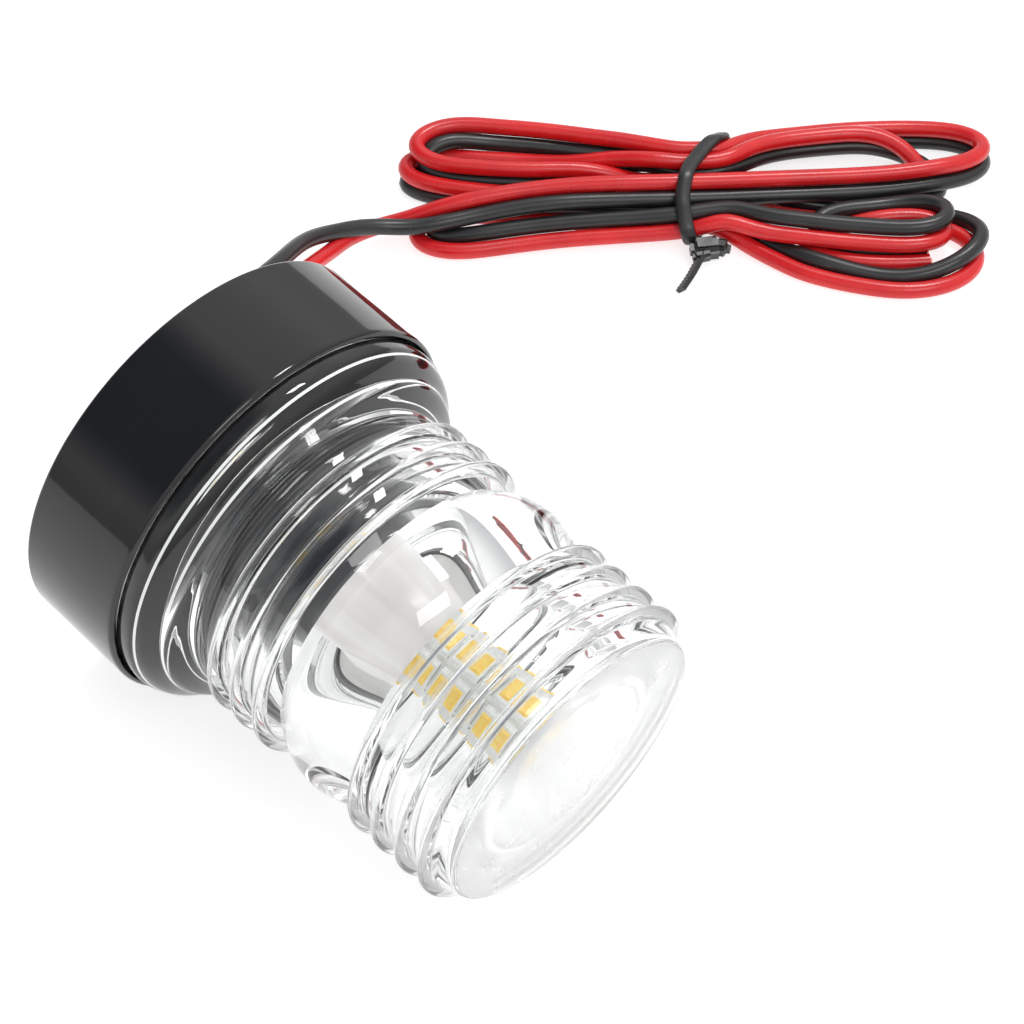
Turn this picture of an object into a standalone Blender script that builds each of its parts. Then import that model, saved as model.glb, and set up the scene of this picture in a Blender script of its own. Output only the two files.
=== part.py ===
"""Small LED all-round navigation light with a twin lead, lying on its side.

Units are metres, +Z is up and Z = 0 is the surface the light lies on.  The
light itself is turned about one axis.  That axis is modelled upright in the
local frame of the empty "light_axis" (local Z = 0 is the mounting face at the
back of the base, local +Z runs to the end of the lens) and the empty lays it
down: the light rests on the front rim of the base and on the last rib of the
lens, so the axis dips towards the lens.
"""
import math

import bpy
import bmesh
from mathutils import Matrix, Vector

for ob in list(bpy.data.objects):
    bpy.data.objects.remove(ob, do_unlink=True)

MM = 0.001
GAP = 0.3                     # clearance kept between touching pieces, mm

# ---------------------------------------------------------------- dimensions
# Base housing (mm, radii and stations along the axis)
BASE_R_BACK = 30.0            # outer radius at the mounting face
BASE_R_FRONT = 30.15          # the side opens by a hair of draft
BASE_SIDE = 16.4              # length of the straight side
BASE_LIP_R = 0.7              # rounding of the front lip
BASE_FACE = 16.4              # front face inside the lip
BASE_WALL = 2.5
NECK_R = 19.7                 # neck that the lens screws on
NECK_BORE = 17.2
NECK_Z = 26.6                 # its shoulder; a narrower tower goes on up
TOWER_R = 14.6
TOWER_BORE = 12.4
NECK_TOP = 36.8
LEDGE_Z = 34.6                # seat of the LED board inside the tower
SEAT_BORE = 13.45             # the board's recess
SEAT_Z = 3.1                  # seat of the back cover
SEAT_R = 22.0

# Lens
FLANGE_R = 29.15
FLANGE_Z = 16.75
LENS_END = 72.5
LENS_END_R = 21.2
LENS_BORE = 20.05             # running clearance on the neck
LENS_CHAMBER = 15.0           # thick clear wall above the neck
LENS_CEILING = 69.6
RIB_CREST_A = 24.3            # three ribs next to the base
RIB_Z_A = 29.45
RIB_PITCH_A = 4.20
RIB_CREST_B = 24.05           # four ribs at the end
RIB_Z_B = 55.75
RIB_PITCH_B = 4.27
RIB_HALF = 0.5                # half the thickness of each thin rib
RIB_ROOT = 22.3
BULGE_Z = 47.05
BULGE_R = 23.86
BULGE_HALF = 6.95
BULGE_END_R = 21.4

# LED tower
HOLDER_R0, HOLDER_R1 = 8.3, 7.6
HOLDER_TOP = 44.4
POST_FLATS = 8.8
POST_TOP = 66.5
CHIP_W, CHIP_L, CHIP_T = 4.6, 5.0, 1.5
CHIP_ROWS = (49.0, 55.6, 62.2)
BOARD_T = 1.6

# Lead
LEAD_D = 2.3                  # bundle core of each insulated lead, mm

TILT = math.atan((BASE_R_FRONT - RIB_CREST_B)
                 / (RIB_Z_B + 3 * RIB_PITCH_B - BASE_SIDE))
AXIS_H = BASE_R_FRONT * math.cos(TILT) + BASE_SIDE * math.sin(TILT)
X_BACK = -0.5 * (LENS_END * math.cos(TILT)
                 + (LENS_END_R - 1.4) * math.sin(TILT)
                 - BASE_R_BACK * math.sin(TILT))

# Hank: where it lies and how it is turned, mm and degrees
HANK_C = (-37.4, 107.7)
HANK_TURN = 47.1
HANK_TOP = 9.4

# ---------------------------------------------------------------- collections
scene = bpy.context.scene
parts = bpy.data.collections.new("navigation_light")
cutters = bpy.data.collections.new("cutters")
scene.collection.children.link(parts)
scene.collection.children.link(cutters)


def material(name, rgb, rough, metal=0.0, alpha=1.0, transmission=0.0):
    mat = bpy.data.materials.new(name)
    mat.use_nodes = True
    bsdf = mat.node_tree.nodes["Principled BSDF"]
    bsdf.inputs["Base Color"].default_value = (*rgb, 1.0)
    bsdf.inputs["Roughness"].default_value = rough
    bsdf.inputs["Metallic"].default_value = metal
    bsdf.inputs["Alpha"].default_value = alpha
    bsdf.inputs["Transmission Weight"].default_value = transmission
    return mat


M_BASE = material("gloss_black_abs", (0.012, 0.012, 0.014), 0.12)
M_COVER = material("black_abs", (0.02, 0.02, 0.022), 0.35)
M_LENS = material("clear_polycarbonate", (0.95, 0.97, 0.96), 0.03,
                  alpha=0.35, transmission=1.0)
M_RUBBER = material("black_rubber", (0.02, 0.02, 0.02), 0.7)
M_SEAL = material("seal_silicone", (0.03, 0.03, 0.03), 0.5)
M_STEEL = material("stainless_steel", (0.62, 0.62, 0.60), 0.28, 1.0)
M_BRASS = material("brass", (0.70, 0.52, 0.24), 0.3, 1.0)
M_BOARD = material("white_solder_mask", (0.82, 0.83, 0.80), 0.35)
M_HOLDER = material("milky_acrylic", (0.86, 0.84, 0.80), 0.25)
M_POST = material("post_board", (0.80, 0.80, 0.76), 0.4)
M_CHIP = material("led_phosphor", (0.93, 0.72, 0.16), 0.3)
M_CHIPBLACK = material("moulded_ic_body", (0.03, 0.03, 0.03), 0.5)
M_CAP = material("capacitor_sleeve", (0.05, 0.06, 0.10), 0.4)
M_FERRITE = material("ferrite", (0.08, 0.08, 0.08), 0.6)
M_RED = material("red_pvc", (0.72, 0.02, 0.03), 0.35)
M_BLACKPVC = material("black_pvc", (0.02, 0.02, 0.02), 0.35)
M_HANK = material("lead_hank", (0.45, 0.03, 0.03), 0.4)
M_TIE = material("black_nylon", (0.02, 0.02, 0.02), 0.4)

# ------------------------------------------------------------------- the axis
rig = bpy.data.objects.new("light_axis", None)
rig.location = (X_BACK * MM, 0.0, AXIS_H * MM)
rig.rotation_euler = (0.0, math.radians(90.0) + TILT, 0.0)
parts.objects.link(rig)


def own(ob, mat=None, parent=rig, coll=parts):
    """Move an object to its collection, parent it and give it a material."""
    for c in list(ob.users_collection):
        c.objects.unlink(ob)
    coll.objects.link(ob)
    ob.parent = parent
    if mat is not None:
        ob.data.materials.clear()
        ob.data.materials.append(mat)
    if coll is cutters:
        ob.hide_render = True
        ob.display_type = 'WIRE'
    return ob


def turned(name, profile, mat, steps=64, closed=True, coll=parts):
    """Solid of revolution about local Z.  The (radius, height) profile in mm
    runs down its outer side; a closed one is a ring, an open one starts and
    ends on the axis."""
    me = bpy.data.meshes.new(name)
    bm = bmesh.new()
    vs = [bm.verts.new((r * MM, 0.0, z * MM)) for r, z in profile]
    for a, b in zip(vs, vs[1:]):
        bm.edges.new((a, b))
    if closed:
        bm.edges.new((vs[-1], vs[0]))
    bm.to_mesh(me)
    bm.free()
    ob = bpy.data.objects.new(name, me)
    coll.objects.link(ob)
    own(ob, mat, coll=coll)
    sc = ob.modifiers.new("turn", 'SCREW')
    sc.axis = 'Z'
    sc.angle = 2 * math.pi
    sc.steps = steps
    sc.render_steps = steps
    sc.use_merge_vertices = True
    sc.merge_threshold = 0.00001
    return ob


def cut(ob, cutter):
    bo = ob.modifiers.new("cut_" + cutter.name, 'BOOLEAN')
    bo.operation = 'DIFFERENCE'
    bo.solver = 'EXACT'
    bo.object = cutter


def cylinder(name, r, z0, z1, x=0.0, y=0.0, mat=None, sides=24, coll=parts,
             r_top=None, turn=0.0):
    """Cylinder or cone along local Z between two stations, mm."""
    bpy.ops.mesh.primitive_cone_add(vertices=sides, radius1=r * MM,
                                    radius2=(r if r_top is None else r_top) * MM,
                                    depth=(z1 - z0) * MM)
    ob = bpy.context.object
    ob.name = ob.data.name = name
    own(ob, mat, coll=coll)
    if coll is cutters:
        turn = math.radians(6.5)      # no cutter edge runs along a part's edge
    ob.location = (x * MM, y * MM, 0.5 * (z0 + z1) * MM)
    ob.rotation_euler = (0.0, 0.0, turn)
    return ob


def block(name, size, at, mat, turn=0.0, bevel=0.0, parent=rig, rot=None):
    """Box of (x, y, z) size with applied scale, centred at a place, mm."""
    bpy.ops.mesh.primitive_cube_add(size=1.0)
    ob = bpy.context.object
    ob.name = ob.data.name = name
    ob.data.transform(Matrix.Diagonal((size[0] * MM, size[1] * MM,
                                       size[2] * MM, 1.0)))
    own(ob, mat, parent=parent)
    ob.location = [c * MM for c in at]
    ob.rotation_euler = rot if rot is not None else (0.0, 0.0, turn)
    if bevel:
        bv = ob.modifiers.new("edges", 'BEVEL')
        bv.width = bevel * MM
        bv.segments = 2
    return ob


def arc(cr, cz, ar, az, a0, a1, n):
    """Points of an elliptical arc in the (radius, height) plane."""
    pts = []
    for i in range(n + 1):
        t = math.radians(a0 + (a1 - a0) * i / n)
        pts.append((cr + ar * math.cos(t), cz + az * math.sin(t)))
    return pts


def smooth_line(points, count):
    """Centripetal Catmull-Rom line through route points, evenly resampled."""
    P = [Vector(p) for p in points]
    P = [P[0] * 2 - P[1]] + P + [P[-1] * 2 - P[-2]]
    dense = []
    for i in range(1, len(P) - 2):
        p0, p1, p2, p3 = P[i - 1:i + 3]
        t0 = 0.0
        t1 = t0 + (p1 - p0).length ** 0.5
        t2 = t1 + (p2 - p1).length ** 0.5
        t3 = t2 + (p3 - p2).length ** 0.5
        for k in range(24):
            t = t1 + (t2 - t1) * k / 24.0
            a1 = p0 * ((t1 - t) / (t1 - t0)) + p1 * ((t - t0) / (t1 - t0))
            a2 = p1 * ((t2 - t) / (t2 - t1)) + p2 * ((t - t1) / (t2 - t1))
            a3 = p2 * ((t3 - t) / (t3 - t2)) + p3 * ((t - t2) / (t3 - t2))
            b1 = a1 * ((t2 - t) / (t2 - t0)) + a2 * ((t - t0) / (t2 - t0))
            b2 = a2 * ((t3 - t) / (t3 - t1)) + a3 * ((t - t1) / (t3 - t1))
            dense.append(b1 * ((t2 - t) / (t2 - t1)) + b2 * ((t - t1) / (t2 - t1)))
    dense.append(P[-2])
    run = [0.0]
    for a, b in zip(dense, dense[1:]):
        run.append(run[-1] + (b - a).length)
    out, j = [], 0
    for i in range(count):
        s = run[-1] * i / (count - 1)
        while j < len(run) - 2 and run[j + 1] < s:
            j += 1
        f = (s - run[j]) / max(run[j + 1] - run[j], 1e-9)
        out.append(dense[j].lerp(dense[j + 1], min(max(f, 0.0), 1.0)))
    return out


def wire(name, points, d, count, mat, parent=None):
    """Round wire on a smooth line through its route points, mm."""
    cu = bpy.data.curves.new(name, 'CURVE')
    cu.dimensions = '3D'
    line = smooth_line(points, count)
    sp = cu.splines.new('POLY')
    sp.points.add(len(line) - 1)
    for p, q in zip(sp.points, line):
        p.co = (q.x * MM, q.y * MM, q.z * MM, 1.0)
    cu.bevel_depth = 0.5 * d * MM
    cu.bevel_resolution = 2
    cu.use_fill_caps = True
    ob = bpy.data.objects.new(name, cu)
    parts.objects.link(ob)
    return own(ob, mat, parent=parent)


def curve_to_mesh(ob):
    """Replace a curve object by its mesh with welded caps."""
    deps = bpy.context.evaluated_depsgraph_get()
    me = bpy.data.meshes.new_from_object(ob.evaluated_get(deps))
    bm = bmesh.new()
    bm.from_mesh(me)
    bmesh.ops.remove_doubles(bm, verts=bm.verts, dist=0.00001)
    bm.to_mesh(me)
    bm.free()
    new = bpy.data.objects.new(ob.name, me)
    new.matrix_world = ob.matrix_world.copy()
    name, mat = ob.name, ob.data.materials[0]
    bpy.data.objects.remove(ob, do_unlink=True)
    new.name = name
    parts.objects.link(new)
    new.data.materials.clear()
    new.data.materials.append(mat)
    return new


# --------------------------------------------------------------- base housing
wall_r = BASE_R_FRONT - BASE_WALL
housing = turned("base_housing",
    [(SEAT_BORE, NECK_TOP), (TOWER_R - 0.3, NECK_TOP), (TOWER_R, NECK_TOP - 0.3),
     (TOWER_R, NECK_Z), (NECK_R - 0.4, NECK_Z), (NECK_R, NECK_Z - 0.4),
     (NECK_R, BASE_FACE - 0.05),
     (23.3, BASE_FACE - 0.05), (23.3, BASE_FACE - 1.5), (26.1, BASE_FACE - 1.5),
     (26.1, BASE_FACE - 0.05), (FLANGE_R + 0.28, BASE_FACE - 0.05),
     (FLANGE_R + 0.28, BASE_SIDE + BASE_LIP_R - 0.05)]
    + arc(BASE_R_FRONT - BASE_LIP_R, BASE_SIDE, BASE_LIP_R, BASE_LIP_R, 78, 0, 4)
    + [(BASE_R_BACK, 0.5), (BASE_R_BACK - 0.5, 0.0),
       (27.45, 0.0), (27.45, SEAT_Z),
       (SEAT_R, SEAT_Z), (SEAT_R, SEAT_Z + 3.6), (wall_r - 0.4, SEAT_Z + 4.6),
       (wall_r - 0.4, BASE_FACE - 3.6), (NECK_BORE, BASE_FACE - 3.6),
       (NECK_BORE, NECK_Z - 2.6), (TOWER_BORE, NECK_Z - 1.8),
       (TOWER_BORE, LEDGE_Z), (SEAT_BORE, LEDGE_Z)],
    M_BASE, steps=48)

SCREW_R = 24.2                # circle of the three cover screws
for i in range(3):
    t = math.radians(90 + 120 * i)
    cx, cy = SCREW_R * math.cos(t), SCREW_R * math.sin(t)
    cut(housing, cylinder("pilot_%d" % (i + 1), 1.35, SEAT_Z - 1.0, SEAT_Z + 3.0,
                          cx, cy, sides=16, coll=cutters))
# Two bosses inside the tower take the board's screws
BOARD_SCREW_R = 11.2
BOARD_SCREWS = []
for deg in (68.0, 248.0):
    t = math.radians(deg)
    BOARD_SCREWS.append((BOARD_SCREW_R * math.cos(t), BOARD_SCREW_R * math.sin(t)))
for i, (cx, cy) in enumerate(BOARD_SCREWS):
    boss = cylinder("board_boss_%d" % (i + 1), 2.0, LEDGE_Z - 4.6,
                    LEDGE_Z - 0.02, cx, cy, sides=16, coll=cutters)
    bo = housing.modifiers.new("board_boss", 'BOOLEAN')
    bo.operation = 'UNION'
    bo.solver = 'EXACT'
    bo.object = boss
for i, (cx, cy) in enumerate(BOARD_SCREWS):
    cut(housing, cylinder("board_pilot_%d" % (i + 1), 1.1, LEDGE_Z - 3.4,
                          LEDGE_Z + 1.0, cx, cy, sides=16, coll=cutters))

# ----------------------------------------------------------------- back cover
cover = turned("rear_cover",
    [(3.3, 2.4), (26.7, 2.4), (27.15, 1.95), (27.15, 0.3), (26.85, 0.0),
     (3.3, 0.0)], M_COVER, steps=48)
INSERT_R = 15.0
for i in range(2):
    cy = INSERT_R * (1 if i == 0 else -1)
    boss = cylinder("insert_boss_%d" % (i + 1), 4.4, 1.6, 7.2, 0.0, cy,
                    sides=24, coll=cutters)
    bo = cover.modifiers.new("boss", 'BOOLEAN')
    bo.operation = 'UNION'
    bo.solver = 'EXACT'
    bo.object = boss
for i in range(2):
    cy = INSERT_R * (1 if i == 0 else -1)
    cut(cover, cylinder("insert_bore_%d" % (i + 1), 2.85, -1.0, 5.6, 0.0, cy,
                        sides=24, coll=cutters))
for i in range(3):
    t = math.radians(90 + 120 * i)
    cx, cy = SCREW_R * math.cos(t), SCREW_R * math.sin(t)
    cut(cover, cylinder("cover_hole_%d" % (i + 1), 1.5, -1.0, 4.0, cx, cy,
                        sides=16, coll=cutters))
    cut(cover, cylinder("cover_sink_%d" % (i + 1), 2.75, -1.0, 1.3, cx, cy,
                        sides=20, coll=cutters))

turned("cover_gasket", [(25.75, SEAT_Z - 0.1), (27.15, SEAT_Z - 0.1),
                        (27.15, 2.55), (25.75, 2.55)], M_SEAL, steps=40)


def screw(name, x, y, head_r, head_h, z_head, shank_r, length, up, mat=M_STEEL):
    """Pan head screw along local Z; up = +1 has its head towards +Z."""
    r, s = head_r, shank_r
    if up > 0:
        prof = [(0, z_head + head_h), (r * 0.62, z_head + head_h),
                (r, z_head + head_h * 0.45), (r, z_head), (s, z_head),
                (s, z_head - length + s), (0, z_head - length)]
    else:
        prof = [(0, z_head + length), (s, z_head + length - s), (s, z_head),
                (r, z_head), (r, z_head - head_h * 0.45),
                (r * 0.62, z_head - head_h), (0, z_head - head_h)]
    ob = turned(name, prof, mat, steps=20, closed=False)
    ob.location = (x * MM, y * MM, 0.0)
    return ob


for i in range(3):
    t = math.radians(90 + 120 * i)
    screw("cover_screw_%d" % (i + 1), SCREW_R * math.cos(t),
          SCREW_R * math.sin(t), 2.45, 0.95, 1.15, 1.1, 4.6, -1)

for i in range(2):
    cy = INSERT_R * (1 if i == 0 else -1)
    ins = turned("mount_insert_%d" % (i + 1),
                 [(1.65, 5.3), (2.6, 5.3), (2.6, 0.1), (1.65, 0.1)],
                 M_BRASS, steps=24)
    ins.location = (0.0, cy * MM, 0.0)

turned("cable_grommet",
       [(0.0, 4.0), (4.2, 4.0), (4.6, 3.6), (4.6, 2.65), (3.05, 2.65),
        (3.05, 0.25), (2.75, 0.0), (0.0, 0.0)],
       M_RUBBER, steps=32, closed=False)

# ------------------------------------------------------------------ LED board
board = turned("led_board", [(0.0, LEDGE_Z + GAP * 0.5 + BOARD_T),
                             (SEAT_BORE - 0.3, LEDGE_Z + GAP * 0.5 + BOARD_T),
                             (SEAT_BORE - 0.3, LEDGE_Z + GAP * 0.5),
                             (0.0, LEDGE_Z + GAP * 0.5)],
               M_BOARD, steps=48, closed=False)
BOARD_TOP = LEDGE_Z + GAP * 0.5 + BOARD_T
BOARD_BOTTOM = LEDGE_Z + GAP * 0.5
for i, (cx, cy) in enumerate(BOARD_SCREWS):
    cut(board, cylinder("board_hole_%d" % (i + 1), 1.2, LEDGE_Z - 1,
                        BOARD_TOP + 1, cx, cy, sides=16, coll=cutters))
    screw("board_screw_%d" % (i + 1), cx, cy, 1.5, 0.8, BOARD_TOP + 0.15,
          0.85, 3.6, +1)

# Driver parts on the underside of the board
block("bridge_rectifier", (6.4, 8.2, 2.4), (-7.0, -2.2, BOARD_BOTTOM - 1.4),
      M_CHIPBLACK, bevel=0.2)
block("driver_ic", (3.9, 4.9, 1.6), (3.4, -6.4, BOARD_BOTTOM - 1.0),
      M_CHIPBLACK, bevel=0.15)
block("sense_resistor", (3.2, 1.6, 0.6), (0.2, -10.4, BOARD_BOTTOM - 0.5),
      M_CHIPBLACK)
turned("power_inductor",
       [(0.0, BOARD_BOTTOM - 0.2), (3.9, BOARD_BOTTOM - 0.2),
        (3.9, BOARD_BOTTOM - 1.2), (2.6, BOARD_BOTTOM - 1.6),
        (2.6, BOARD_BOTTOM - 3.9), (3.9, BOARD_BOTTOM - 4.3),
        (3.9, BOARD_BOTTOM - 5.2), (0.0, BOARD_BOTTOM - 5.2)],
       M_FERRITE, steps=24, closed=False).location = (-3.5 * MM, 7.0 * MM, 0.0)
turned("filter_capacitor",
       [(0.0, BOARD_BOTTOM - 0.2), (4.0, BOARD_BOTTOM - 0.2),
        (4.0, BOARD_BOTTOM - 1.1), (3.7, BOARD_BOTTOM - 1.4),
        (4.0, BOARD_BOTTOM - 1.7), (4.0, BOARD_BOTTOM - 11.6),
        (3.6, BOARD_BOTTOM - 12.0), (0.0, BOARD_BOTTOM - 12.0)],
       M_CAP, steps=24, closed=False).location = (6.4 * MM, 2.6 * MM, 0.0)

# Leads inside the base, from the grommet to the board
wire("inner_lead_red", [(0.0, 1.6, 4.3), (0.3, 1.9, 9.0), (-1.5, 3.2, 16.0),
                        (-0.4, 2.2, 24.0), (-0.9, 1.4, 30.0),
                        (-0.9, 1.4, BOARD_BOTTOM - 0.3)],
     LEAD_D, 12, M_RED, parent=rig)
wire("inner_lead_black", [(0.0, -1.6, 4.3), (0.4, -2.2, 9.0), (1.6, -4.2, 16.0),
                          (0.6, -4.6, 24.0), (0.0, -3.4, 30.0),
                          (0.0, -3.4, BOARD_BOTTOM - 0.3)],
     LEAD_D, 12, M_BLACKPVC, parent=rig)

# ------------------------------------------------------------------ LED tower
turned("led_holder",
       [(6.7, HOLDER_TOP), (HOLDER_R1 - 0.6, HOLDER_TOP),
        (HOLDER_R1, HOLDER_TOP - 0.6), (HOLDER_R0, BOARD_TOP + 2.6),
        (9.4, BOARD_TOP + 1.4), (9.4, BOARD_TOP + GAP),
        (6.7, BOARD_TOP + GAP)], M_HOLDER, steps=40)

POST_R = POST_FLATS / math.sqrt(3.0)
cylinder("led_post", POST_R, BOARD_TOP + GAP, POST_TOP, mat=M_POST, sides=6)
n = 0
for row, z in enumerate(CHIP_ROWS):
    for k in range(6):
        t = math.radians(60.0 * k)
        n += 1
        rr = 0.5 * POST_FLATS + 0.2 + 0.5 * CHIP_T
        block("led_chip_%02d" % n, (CHIP_T, CHIP_W, CHIP_L),
              (rr * math.cos(t), rr * math.sin(t), z), M_CHIP, turn=t)

# ----------------------------------------------------------------------- lens
def fin(crest, z):
    """Outline of one thin rib with a rounded edge, from its far side back."""
    return [(RIB_ROOT, z + RIB_HALF + 0.12), (crest - 0.35, z + RIB_HALF - 0.05),
            (crest, z + 0.15), (crest, z - 0.15),
            (crest - 0.35, z - RIB_HALF + 0.05), (RIB_ROOT, z - RIB_HALF - 0.12)]


outer = [(0.0, LENS_END), (LENS_END_R - 1.4, LENS_END)]
outer += arc(LENS_END_R - 1.4, LENS_END - 1.4, 1.4, 1.4, 90, 0, 4)[1:]
outer += [(LENS_END_R + 0.1, LENS_END - 1.9)]
for i in (3, 2, 1, 0):
    outer += fin(RIB_CREST_B, RIB_Z_B + i * RIB_PITCH_B)
zb0, zb1 = BULGE_Z - BULGE_HALF, BULGE_Z + BULGE_HALF
for i in range(9):
    u = 1.0 - 2.0 * i / 8.0
    outer.append((BULGE_END_R + (BULGE_R - BULGE_END_R) * (1 - u * u),
                  BULGE_Z + (BULGE_HALF - 0.12) * u))
for i in (2, 1, 0):
    outer += fin(RIB_CREST_A, RIB_Z_A + i * RIB_PITCH_A)
outer += [(RIB_ROOT + 0.1, 26.6), (22.9, 25.4), (24.2, 24.6), (25.5, 23.9),
          (27.2, 22.2), (28.4, 20.4), (FLANGE_R - 0.15, 18.8),
          (FLANGE_R, 18.4), (FLANGE_R, FLANGE_Z + 0.2),
          (FLANGE_R - 0.2, FLANGE_Z), (LENS_BORE + 0.3, FLANGE_Z),
          (LENS_BORE, FLANGE_Z + 0.3), (LENS_BORE, NECK_Z + 0.6),
          (LENS_BORE - 0.4, NECK_Z + 1.0), (LENS_CHAMBER + 0.4, NECK_Z + 1.0),
          (LENS_CHAMBER, NECK_Z + 1.4), (LENS_CHAMBER, LENS_CEILING - 1.6)]
outer += arc(LENS_CHAMBER - 1.6, LENS_CEILING - 1.6, 1.6, 1.6, 0, 90, 3)[1:]
outer += [(0.0, LENS_CEILING)]
turned("lens", outer, M_LENS, steps=48, closed=False)

turned("lens_seal",
       [(24.1, BASE_FACE + 0.05), (25.3, BASE_FACE + 0.05),
        (25.8, BASE_FACE - 0.65), (25.3, BASE_FACE - 1.35),
        (24.1, BASE_FACE - 1.35), (23.6, BASE_FACE - 0.65)],
       M_SEAL, steps=48)

# ---------------------------------------------------------------- twin lead
ct, st = math.cos(TILT), math.sin(TILT)


def on_axis(x, y, z):
    """World place, in mm, of a local point of the light's axis frame."""
    return (X_BACK - x * st + z * ct, y, AXIS_H - x * ct - z * st)


hc, hs = math.cos(math.radians(HANK_TURN)), math.sin(math.radians(HANK_TURN))


def on_hank(h, v, z):
    """World place, in mm, of a point along (h) and across (v) the hank."""
    return (HANK_C[0] + h * hc - v * hs, HANK_C[1] + h * hs + v * hc, z)


LEAD_BLACK = [on_axis(0.0, -1.6, -0.35), on_axis(0.0, -1.6, -6.0),
              (-50.0, 3.0, 32.5), (-58.5, 15.5, 27.5), (-65.0, 30.0, 21.0),
              (-67.0, 43.0, 15.0), (-70.4, 52.1, 10.5), (-70.8, 58.8, 7.5),
              (-69.2, 65.1, 5.5), (-67.0, 70.4, 4.1)]
LEAD_RED = [on_axis(0.0, 1.6, -0.35), on_axis(0.0, 1.6, -5.5),
            (-47.5, 7.0, 31.0), (-54.5, 18.5, 25.0), (-60.5, 31.0, 18.0),
            (-64.6, 42.0, 12.5), (-67.5, 51.5, 8.4), (-70.2, 60.0, 4.6),
            (-71.2, 66.8, 2.6), (-70.0, 71.6, 2.2)]
wire("lead_black", LEAD_BLACK, LEAD_D, 30, M_BLACKPVC)
wire("lead_red", LEAD_RED, LEAD_D, 30, M_RED)

# Hank: extruded outline with round ends and a waist where the tie sits
outline = []
left_c, left_r = (-35.0, 5.4), 13.6
right_c, right_r = (31.0, -3.4), 17.6
for i in range(15):
    t = math.radians(-78.0 + 160.0 * i / 14.0)
    outline.append((right_c[0] + right_r * math.cos(t),
                    right_c[1] + right_r * math.sin(t)))
outline += [(16.0, 11.6), (5.0, 9.9), (-5.0, 9.9), (-14.0, 12.8)]
for i in range(13):
    t = math.radians(98.0 + 160.0 * i / 12.0)
    outline.append((left_c[0] + left_r * math.cos(t),
                    left_c[1] + left_r * math.sin(t)))
outline += [(-18.0, -8.5), (-5.0, -8.35), (5.0, -8.35), (16.0, -14.2)]


def flat_outline(name, loops, half, mat):
    """Plate cut to one or more outlines (mm), thick by twice 'half'."""
    cu = bpy.data.curves.new(name, 'CURVE')
    cu.dimensions = '2D'
    cu.fill_mode = 'BOTH'
    cu.extrude = half * MM
    for loop in loops:
        sp = cu.splines.new('POLY')
        sp.points.add(len(loop) - 1)
        for p, (x, y) in zip(sp.points, loop):
            p.co = (x * MM, y * MM, 0.0, 1.0)
        sp.use_cyclic_u = True
    ob = bpy.data.objects.new(name, cu)
    parts.objects.link(ob)
    ob.data.materials.append(mat)
    return ob


hank = flat_outline("lead_hank", [outline], 0.5 * HANK_TOP, M_HANK)
hank.location = (HANK_C[0] * MM, HANK_C[1] * MM, 0.5 * HANK_TOP * MM)
hank.rotation_euler = (0.0, 0.0, math.radians(HANK_TURN))
bpy.context.view_layer.update()
hank = curve_to_mesh(hank)

TIE_W = 3.6
WAIST_V0, WAIST_V1 = -8.4, 9.1        # bundle inside the tie, across
WAIST_Z0, WAIST_Z1 = 1.5, 8.8         # and in height
for nm, size, at in (
        ("groove_front", (TIE_W + 0.7, 20.0, 40.0), (0.0, WAIST_V0 - 10.0, 0.0)),
        ("groove_back", (TIE_W + 0.7, 20.0, 40.0), (0.0, WAIST_V1 + 10.0, 0.0)),
        ("groove_top", (TIE_W + 0.7, 60.0, 10.0), (0.0, 0.0, WAIST_Z1 + 5.0)),
        ("groove_under", (TIE_W + 0.7, 60.0, 10.0), (0.0, 0.0, WAIST_Z0 - 5.0))):
    bpy.ops.mesh.primitive_cube_add(size=1.0)
    cb = bpy.context.object
    cb.name = cb.data.name = nm
    cb.data.transform(Matrix.Diagonal((size[0] * MM, size[1] * MM,
                                       size[2] * MM, 1.0)))
    own(cb, None, parent=None, coll=cutters)
    cb.location = [c * MM for c in on_hank(*at)]
    cb.rotation_euler = (0.0, 0.0, math.radians(HANK_TURN))
    cut(hank, cb)


def rounded(x0, y0, x1, y1, r, n=5):
    pts = []
    for cx, cy, a in ((x1 - r, y1 - r, 0), (x0 + r, y1 - r, 90),
                      (x0 + r, y0 + r, 180), (x1 - r, y0 + r, 270)):
        for i in range(n + 1):
            t = math.radians(a + 90.0 * i / n)
            pts.append((cx + r * math.cos(t), cy + r * math.sin(t)))
    return pts


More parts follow.
